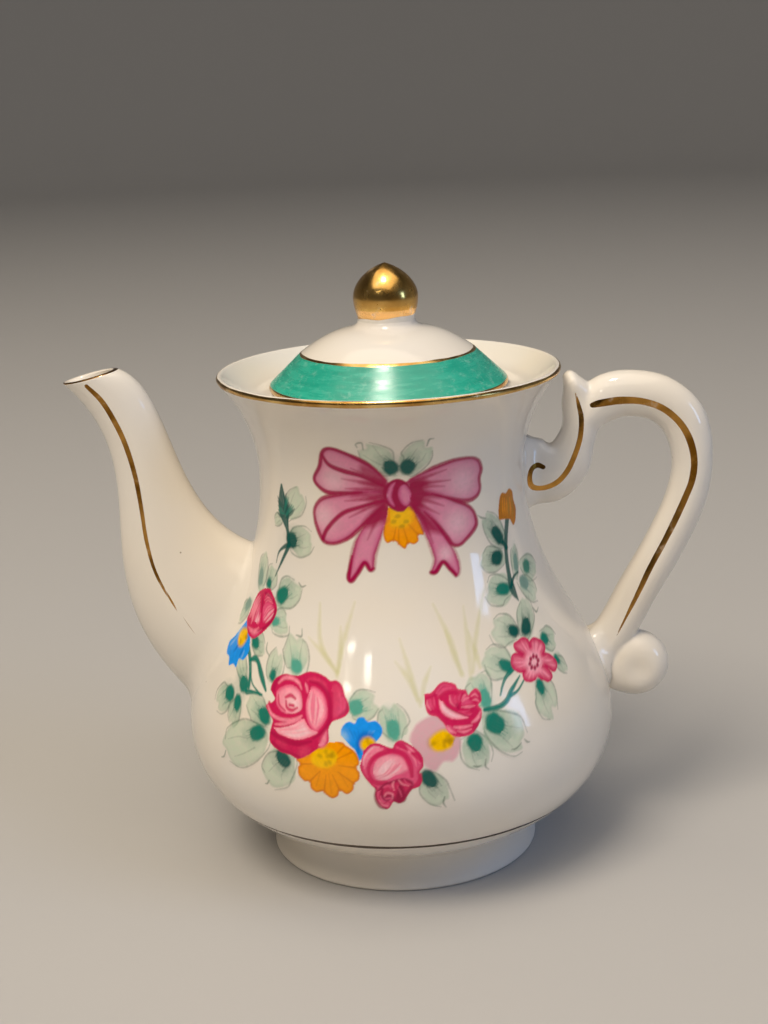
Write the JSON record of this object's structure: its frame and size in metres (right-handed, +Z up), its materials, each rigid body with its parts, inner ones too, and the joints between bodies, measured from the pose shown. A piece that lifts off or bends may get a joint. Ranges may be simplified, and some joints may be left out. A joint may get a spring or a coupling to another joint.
{
  "type": "miniature teapot",
  "caption": "Small porcelain teapot: pear-shaped pot on a foot ring, swan-neck spout, scroll handle with a ball end, and a domed lift-off lid with a gilded knob.",
  "frame": {"origin": "middle of the foot ring's base, on the pot's axis", "axes": "+Z up along the pot's axis, +X towards the handle, spout towards -X, painted front towards -Y"},
  "size_m": [0.1064, 0.0724, 0.1],
  "materials": {
    "porcelain": "clear glossy glaze over warm white porcelain, with painted flowers and gold lines",
    "lid_porcelain": "clear glossy glaze over warm white porcelain, with a teal enamel band between gold lines",
    "gilding": "bright burnished gold over glazed porcelain"
  },
  "bodies": {
    "pot": {"pot_body": "porcelain", "spout": "porcelain", "handle": "porcelain"},
    "lid": {"lid": "lid_porcelain", "lid_knob": "gilding"}
  },
  "joints": [
    {"name": "lid_lift", "type": "slide", "parent": "pot", "child": "lid", "axis": [0, 0, 1], "range_m": [0, 0.05]}
  ]
}
